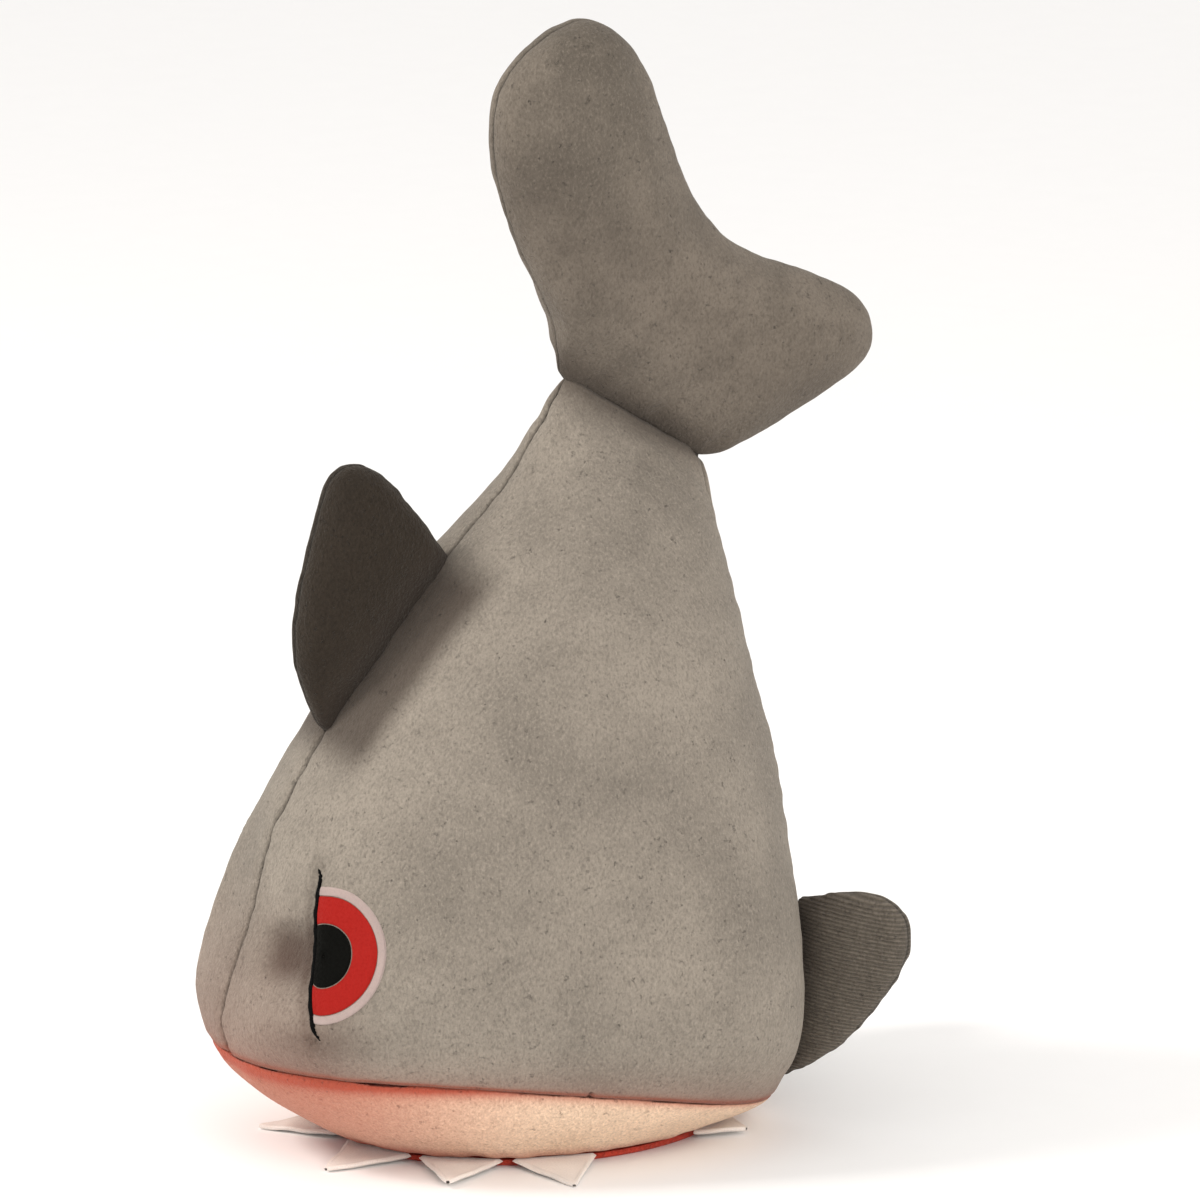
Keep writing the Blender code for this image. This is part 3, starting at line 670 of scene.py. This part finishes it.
def make_lip(look):
    """The cream roll between the hem and the tooth line, tucked in under both."""
    angles = -math.pi + 2 * math.pi * np.arange(480) / 480
    steps = 30
    hem = body_surface([0], angles, BODY_INSET + 2.2)[0] - (0, 0, 1.0)
    root = ellipse(TOOTH_LINE, angles) + (0, 0, LIP_BOTTOM)
    across = (hem - root) * (1, 1, 0)
    height = (hem - root)[:, 2:]
    rows = []
    up = np.array((0, 0, 1.0))
    for step in range(steps + 1):
        turn = math.pi / 2 * step / steps
        run = math.cos(turn)
        rise = LIP_STRAIGHTNESS * run + (1 - LIP_STRAIGHTNESS) * (1 - math.sin(turn))
        rows.append(root + across * run + up * rise * height)
    tucked = rows[0] - across / np.linalg.norm(across, axis=1)[:, None] * 3 + (0, 0, 0.8)
    rows = [tucked] + rows
    rows.append(ellipse(TOOTH_LINE, angles, -2.5) + (0, 0, LIP_BOTTOM - 0.4))
    rows.append(ellipse(TOOTH_LINE, angles, -6.0) + (0, 0, LIP_BOTTOM - 1.0))
    grid = np.array(rows)[::-1]
    normals = grid_normals(grid)
    down = (np.arange(len(rows)) / (len(rows) - 1))[::-1, None]
    gather = ripple(ellipse((100, 80), angles), 16, 11)[None]
    out = 0.5 * np.sin(math.pi * np.clip(down, 0, 1)) + 0.3 * ripple(grid, 30, 12)
    out += 0.45 * gather * (bump_shape(down - 0.95, 0.14) + bump_shape(down - 0.06, 0.12))
    out -= 1.0 * bump_shape(down - 0.03, 0.04)
    out *= np.clip(np.linalg.norm(hem - root, axis=1) / 45, 0, 1)[None]
    grid = grid + normals * out[..., None]
    # painted reflected light: red glow at the lip's nose end and along both its edges
    nose = smooth_step(-grid[..., 0], 20, 165)
    edges = 0.75 * bump_shape(down, 0.16) + 0.72 * nose + 0.65 * smooth_step(down, 0.78, 1.0)
    painted_red_light = np.clip(edges, 0, 0.95)
    seam = 0.3 * bump_shape(down - 0.02, 0.02) + 0 * grid[..., 0]
    fields = {"painted_red_light": painted_red_light, "seam": seam, "shade": np.zeros_like(seam)}
    return add_piece("lip_roll", grid.reshape(-1, 3), grid_faces(*grid.shape[:2]), look, fields)


def make_lining(look):
    """The mouth's cloth: the flat ring that the shark stands on, a pleated wall and a dome of six gores."""
    angles = -math.pi + 2 * math.pi * np.arange(300) / 300
    up = np.array((0, 0, 1.0))
    rows = [ellipse(MOUTH, angles, outset) + up * height for outset, height in (
        (REST_RIM - 1.4, 3.4), (REST_RIM - 1.0, 2.0), (REST_RIM - 1.3, 0.8), (REST_RIM - 2.0, 0.15),
        (REST_RIM - 3.0, 0.05), (3, 0.05), (1.4, 0.25), (0.4, 1.0), (0.0, 2.4))]
    for height in np.linspace(6, DOME_START, 40):
        share = height / DOME_START
        size = [low + (high - low) * share for low, high in zip(MOUTH, CROWN)]
        rows.append(ellipse(size, angles) + up * height)
    for turn in np.linspace(0, math.pi / 2, 36)[1:]:
        size = [radius * max(math.cos(turn), 0.002) for radius in CROWN]
        rows.append(ellipse(size, angles) + up * (DOME_START + DOME_HEIGHT * math.sin(turn)))
    grid = np.array(rows)
    normals = grid_normals(grid)
    height = grid[..., 2]
    pleats = np.sin(angles * 14 + 1.2 * np.sin(angles * 3))[None]
    wall = smooth_step(height, 6, 40) * smooth_step(height, DOME_START + DOME_HEIGHT, DOME_START)
    out = 0.8 * wall - wall * (0.9 * pleats + 0.5 * ripple(grid, 45, 21))
    ring = bump_shape(height - DOME_START, 1.6)
    out += 1.2 * ring
    dome_seams = smooth_step(height, DOME_START, DOME_START + 6)
    gores = bump_shape(np.sin(angles * 3)[None] * np.hypot(grid[..., 0], grid[..., 1]) / 3, 1.2) * dome_seams
    out += 0.9 * gores
    grid = grid + normals * np.clip(out, -0.8, 3)[..., None] * (height > 4)[..., None]
    seam = np.clip(0.6 * ring + 0.6 * gores, 0, 0.8)
    fields = {"painted_red_light": np.zeros_like(seam), "seam": seam, "shade": np.zeros_like(seam)}
    return add_piece("mouth_cloth", grid.reshape(-1, 3), grid_faces(*grid.shape[:2]), look, fields)


# ---------------------------------------------------------------- tail and fins

def joined(names):
    points, faces = [], []
    for name in names:
        mesh = frame["nodes"][name].data
        first = sum(len(block) for block in points)
        points.append(mesh_points(mesh))
        faces += [tuple(first + v for v in polygon.vertices) for polygon in mesh.polygons]
    return np.concatenate(points), faces


def outer_island(points, faces):
    """Only the faces that hang together with the outermost point."""
    owner = np.arange(len(points))
    for _ in range(200):
        before = owner.copy()
        for corners in (faces[:, [0, 1]], faces[:, [1, 2]], faces[:, [2, 3]]):
            low = owner[corners].min(1)
            np.minimum.at(owner, corners[:, 0], low)
            np.minimum.at(owner, corners[:, 1], low)
        owner = owner[owner]
        if (owner == before).all():
            break
    keep = owner == owner[np.argmax(points[:, 2])]
    number = np.cumsum(keep) - 1
    kept = faces[keep[faces[:, 0]]]
    return points[keep], number[kept]


def wrapped(names):
    """One closed skin round CAD nodes, in even squares."""
    piece = scratch_object(*joined(names))
    remesh = piece.modifiers.new("wrap", "REMESH")
    remesh.mode = "VOXEL"
    remesh.voxel_size = LIMB_VOXEL * MM
    points, faces = evaluated(piece)
    discard(piece)
    return outer_island(points, np.array(faces))


def joint_named(name):
    return next(joint for joint in frame["joints"] if joint["name"] == name)


def limb_axes(joint, points):
    """The hinge's place, and the limb's directions along the hinge, away from it and across its cloth."""
    place = np.array(joint["pos_m"]) / MM
    along = np.array(joint["axis"])
    away = points.mean(0) - place
    away -= along * (away @ along)
    away /= np.linalg.norm(away)
    return place, along, away, np.cross(along, away)


def make_limb(name, joint_name, nodes, look, root, seed, middle_shade):
    """A stuffed tail or fin: swelled, seamed round its rim, its root drawn down into the body's cloth."""
    joint = joint_named(joint_name)
    points, faces = wrapped(nodes)
    place, along, away, across = limb_axes(joint, points)
    height = (points - place) @ away
    base = height.min()
    held = np.where(height < base + 5, 1.0, 0.0)
    points = swell(points, faces, held, LIMB_SWELL)
    points = smoothed(points, faces, LIMB_SMOOTHING)
    points, faces = subdivided(points, faces, 2)
    local = points - place
    u, v, w = local @ along, local @ away, local @ across
    reach = root + 22
    v = np.where(v < reach, reach - (reach - v) * (reach + root) / (reach - base), v)
    normals = point_normals(points, faces)
    rim = 1 - abs(normals @ across)
    on_rim = smooth_step(rim, 0.25, 0.7)
    groove = on_rim * bump_shape(w, 1.1)
    out = 0.3 * ripple(points, 45, seed) + 0.1 * ripple(points, 16, seed + 1) - 1.1 * groove
    out += 0.12 * ripple(points, 11, seed + 2) * on_rim + LIMB_PLUMP * smooth_step(v, 0, 30)
    crease = bump_shape(v, 9)
    out += 0.7 * ripple(np.stack([u, 0 * u, 0 * u], -1), 12, seed + 3) * bump_shape(v - 10, 8)
    placed = place + np.outer(u, along) + np.outer(v, away) + np.outer(w, across) + normals * out[:, None]
    fields = {
        "seam": np.clip(0.8 * on_rim * bump_shape(w, 0.8) + 0.35 * crease, 0, 0.85),
        "painted_red_light": np.zeros_like(u),
        # painted shade: at the limb's root, and across the tail's middle where middle_shade is set
        "shade": np.clip(0.55 * bump_shape(v, 14) + middle_shade * bump_shape(v - 58, 42), 0, 1),
        "rib": u / RIB_SPACING,
    }
    piece = add_piece(name, placed, faces, look, fields)
    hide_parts(*nodes)
    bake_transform(piece)
    return piece


# ---------------------------------------------------------------- eyes and teeth

def eye_reach(radius):
    """How far round from the belly side a circle runs before it meets the brow."""
    edge = BROW_WIDTH / 2
    reach = math.pi / 2
    for _ in range(12):
        cosine = (brow_line(radius * math.sin(reach)) + edge) / radius
        reach = math.acos(max(-1.0, min(1.0, cosine)))
    return reach


def lay_on(tree, flat, lift, sign):
    """Points of an eye's plane laid on the body's cloth and lifted off it; sign is 1 left and -1 right."""
    centre, towards_belly, up, facing = (axis * (1, sign, 1) for axis in eye_axes())
    placed = []
    for (x, y), rise in zip(flat.reshape(-1, 2), lift.ravel()):
        start = centre + towards_belly * x + up * y + facing * 60
        hit = tree.ray_cast(Vector(start), Vector(-facing))[0]
        placed.append(np.array(hit) + facing * rise)
    return np.array(placed)


def add_eye_piece(kind, tree, flat, lift, thread_field, look):
    faces = grid_faces(*flat.shape[:2], wraps=False)
    for side, sign in (("left", 1), ("right", -1)):
        laid = lay_on(tree, flat, lift, sign)
        piece = add_piece(f"embroidered_{kind}_{side}", laid, faces, look, {"thread": thread_field})
        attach(piece, "body")
        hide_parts(f"eye_{kind}_{side}")


def make_eyes(body, looks):
    """Embroidered rings, pupil and brow on both sides, each domed a little like raised satin stitch."""
    corners = [tuple(point) for point in mesh_points(body.data)]
    tree = BVHTree.FromPolygons(corners, [tuple(polygon.vertices) for polygon in body.data.polygons])
    rings = {
        "white": (IRIS_RADIUS - 0.2, EYE_WHITE_RADIUS, 12, 220, 0.9),
        "iris": (PUPIL_RADIUS - 0.2, IRIS_RADIUS, 22, 200, 0.7),
        "pupil": (0.3, PUPIL_RADIUS, 18, 120, 0.9),
    }
    for kind, (inner, outer, steps, turns, rise) in rings.items():
        radii = np.linspace(inner, outer, steps)
        flat = np.zeros((steps, turns, 2))
        share = np.linspace(-1, 1, turns)
        for row, radius in enumerate(radii):
            angle = share * eye_reach(radius)
            flat[row] = np.stack([radius * np.cos(angle), radius * np.sin(angle)], -1)
        edge = np.minimum(radii - inner if kind != "pupil" else outer, outer - radii)
        dome = np.sqrt(np.clip(1 - (1 - np.clip(edge / 1.3, 0, 1)) ** 2, 0, 1))
        lift = (rise + 0.5) * dome[:, None] - 0.5 + 0 * share[None]
        if kind == "white":
            count = share[None] * outer * math.pi / 0.45 + 0 * radii[:, None]
        else:
            count = flat[..., 0] / 0.6
        lift = lift + 0.05 * np.sin(2 * math.pi * share[None] * 40)
        add_eye_piece(kind, tree, flat, lift, count, looks[kind])
    heights = np.linspace(-1, 1, 160) * BROW_HALF_LENGTH
    turn = np.linspace(0, math.pi, 13)
    flat = np.zeros((len(turn), len(heights), 2))
    lift = np.zeros(flat.shape[:2])
    for column, height in enumerate(heights):
        end = math.sqrt(max(0.0, 1 - abs(height / BROW_HALF_LENGTH) ** 10))
        half = BROW_WIDTH / 2 * end * (0.95 + 0.15 * math.sin(height * 0.7)) + 0.05
        hook = 2.4 * smooth_step(-height, 36, 42) - 2.2 * smooth_step(height, 36, 42)
        flat[:, column, 0] = brow_line(height) + hook + half * np.cos(turn)
        flat[:, column, 1] = height
        lift[:, column] = 1.7 * end * np.sin(turn) - 0.5 + 0.1 * math.sin(height * 4.2)
    add_eye_piece("brow", tree, flat, lift, np.tile(heights / 0.7, (len(turn), 1)), looks["brow"])


def make_tooth(node, look, seed):
    """A double layer of felt, cut as a triangle and sewn in at its base; it curls a little."""
    joint = joint_named(node + "_fold")
    place = np.array(joint["pos_m"]) / MM
    along = np.array(joint["axis"])
    corners, _ = joined([node])
    offsets = corners - place
    reach = np.linalg.norm(offsets - np.outer(offsets @ along, along), axis=1)
    length = reach.max()
    tip = offsets[np.argmax(reach)]
    away = tip - along * (tip @ along)
    away /= np.linalg.norm(away)
    up = np.cross(along, away)
    up *= math.copysign(1, up[2])
    half_width = abs(offsets @ along).max()
    rows, columns = 30, 25
    v = np.linspace(-1, length, rows)[:, None]
    s = np.linspace(-1, 1, columns)[None]
    half = half_width * (1 - np.clip(v, 0, None) / length) + 0.9 * smooth_step(v, 0, length)
    flat = place + along * (s * half)[..., None] + away * (v + 0 * s)[..., None]
    wave = 0.5 * ripple(flat, 22, seed) * smooth_step(v, 2, 14) + 0.8 * np.clip(v / length, 0, 1) ** 2
    edge = (1 - abs(s)) * half
    edge = np.minimum(edge, length - v + 0.2)
    thick = FELT_HALF_THICKNESS * np.sqrt(np.clip(1 - (1 - np.clip(edge / 1.0, 0, 1)) ** 2, 0, 1))
    top = flat + up * (wave + thick)[..., None]
    bottom = flat + up * (wave - thick)[..., None]
    count = rows * columns
    faces = grid_faces(rows, columns, wraps=False)
    points = np.concatenate([top.reshape(-1, 3), bottom.reshape(-1, 3)])
    points[:, 2] = np.maximum(points[:, 2], 0.3)
    both = np.concatenate([faces, faces[:, ::-1] + count])
    line = 0.3 * bump_shape(edge - 2.4, 0.5) * smooth_step(length - v, 4, 9)
    seam = np.concatenate([line.ravel(), line.ravel()])
    piece = add_piece("felt_" + node, points, both, look, {"seam": seam})
    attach(piece, joint["child"])
    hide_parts(node)


# ---------------------------------------------------------------- studio

def add_light(name, place, target, size, power, color):
    data = bpy.data.lights.new(name, "AREA")
    data.size = size
    data.energy = power
    data.color = color
    lamp = bpy.data.objects.new(name, data)
    bpy.context.scene.collection.objects.link(lamp)
    lamp.location = place
    lamp.rotation_euler = (Vector(target) - Vector(place)).to_track_quat("-Z", "Y").to_euler()


def make_studio():
    scene = bpy.context.scene
    scene.view_settings.view_transform = "Standard"
    world = bpy.data.worlds.new("studio")
    world.use_nodes = True
    background = world.node_tree.nodes["Background"]
    background.inputs["Color"].default_value = (1.0, 0.98, 0.96, 1)
    background.inputs["Strength"].default_value = 0.92
    scene.world = world
    middle = (0, 0, 0.25)
    add_light("key", (-1.6, 0.5, 1.6), middle, 0.5, 26, (1.0, 0.97, 0.93))
    add_light("front", (0.3, -2.2, 1.2), middle, 1.6, 22, (1.0, 0.96, 0.92))
    nodes = Nodes("paper")
    grain = nodes.noise(40, 3)
    tone = nodes.mix(grain, (0.96, 0.96, 0.96), (0.98, 0.98, 0.98))
    paper = nodes.finish(tone, nodes.span(grain, 0, 1, 0.8, 0.9), nodes.bump(grain, 0.0002, 0.2))
    size = 20.0
    corners = [(-size, -size, 0), (size, -size, 0), (size, size, 0), (-size, size, 0)]
    mesh = new_mesh("floor", corners, [(0, 1, 2, 3)], scale=1)
    mesh.materials.append(paper)
    floor = bpy.data.objects.new("floor", mesh)
    scene.collection.objects.link(floor)


def make_camera():
    a, e = CAMERA_AZIMUTH, CAMERA_ELEVATION
    back = Vector((math.sin(a) * math.cos(e), -math.cos(a) * math.cos(e), math.sin(e)))
    right = Vector((math.cos(a), math.sin(a), 0))
    up = back.cross(right)
    data = bpy.data.cameras.new("camera")
    data.lens = CAMERA_LENS
    data.sensor_width = 36
    data.clip_end = 100
    camera = bpy.data.objects.new("camera", data)
    bpy.context.scene.collection.objects.link(camera)
    camera.location = (right * AIM_RIGHT + up * AIM_UP + back * CAMERA_DISTANCE) * MM
    camera.rotation_euler = back.to_track_quat("Z", "Y").to_euler()
    bpy.context.scene.camera = camera


# ---------------------------------------------------------------- the whole shark

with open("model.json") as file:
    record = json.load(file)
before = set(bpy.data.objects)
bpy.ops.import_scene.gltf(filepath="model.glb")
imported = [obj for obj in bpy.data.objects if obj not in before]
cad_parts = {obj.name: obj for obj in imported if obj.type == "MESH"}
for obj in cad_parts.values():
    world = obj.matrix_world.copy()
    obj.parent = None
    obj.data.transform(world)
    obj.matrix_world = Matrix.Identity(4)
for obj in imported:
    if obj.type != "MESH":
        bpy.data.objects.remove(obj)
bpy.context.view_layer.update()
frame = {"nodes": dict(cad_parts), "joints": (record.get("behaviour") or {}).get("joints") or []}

make_camera()
make_studio()

body, body_grid, body_angles = make_body(velvet("velvet_gray", GRAY, PAINTED_RED_LIGHT_GRAY))
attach(body, "body")
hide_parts("side_panel_left", "side_panel_right", "belly_panel", "head_filling", "body_filling")

dark_thread = thread("thread_dark", DARK_THREAD, sheen=0.0, specular=0.05)
stitches = make_stitches(body_grid, body_angles, dark_thread)
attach(stitches, "body")

lip = make_lip(velvet("velvet_cream", CREAM, PAINTED_RED_LIGHT_CREAM, contrast=0.25))
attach(lip, "body")
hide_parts("lip_cover", "lip_padding")

lining = make_lining(velvet("fleece_red", RED_LINING, PAINTED_RED_LIGHT_CREAM, contrast=0.6))
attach(lining, "body")
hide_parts("mouth_lining")

tail_look = velvet("velvet_tail", TAIL_GRAY, PAINTED_RED_LIGHT_GRAY, contrast=1.7)
fin_look = velvet("velvet_dark", DORSAL_GRAY_AND_PAINTED_SHADE, PAINTED_RED_LIGHT_GRAY, contrast=0.6)
ribbed_look = velvet("velvet_ribbed", DARK_GRAY, PAINTED_RED_LIGHT_GRAY, contrast=0.8, ribbed=True)
# For each limb: piece, joint, stem and faces of its nodes, look, depth of its root, seed, middle's shade, slot
limbs = [
    ("tail_velvet", "tail_flop", "tail", ("left_face", "right_face"), tail_look, 3, 31, 0.3, "velvet_gray"),
    ("dorsal_velvet", "dorsal_fin_fold", "dorsal_fin", ("left_face", "right_face"), fin_look, 8, 41, 0.0,
     "velvet_dark"),
]
for side in ("left", "right"):
    limbs.append((f"pectoral_velvet_{side}", f"pectoral_{side}_flap", f"pectoral_{side}",
                  ("front_face", "rear_face"), ribbed_look, 6, 51, 0.0, "velvet_dark"))
for name, joint_name, stem, faces, look, root, seed, middle_shade, slot in limbs:
    nodes = [f"{stem}_{part}" for part in (*faces, "filling")]
    limb = make_limb(name, joint_name, nodes, look, root, seed, middle_shade)

eye_looks = {
    "white": thread("satin_white", SATIN_WHITE),
    "iris": thread("satin_red", SATIN_RED, sheen=0.0, contrast=0.3, specular=0.12),
    "pupil": thread("satin_black", SATIN_BLACK, sheen=0.0, specular=0.05),
    "brow": thread("satin_brow", BROW_BLACK, sheen=0.0, specular=0.05),
}
make_eyes(body, eye_looks)

felt_look = felt("felt_white", FELT_WHITE)
for number, node in enumerate(sorted(name for name in frame["nodes"] if name.startswith("tooth_"))):
    make_tooth(node, felt_look, 60 + number)
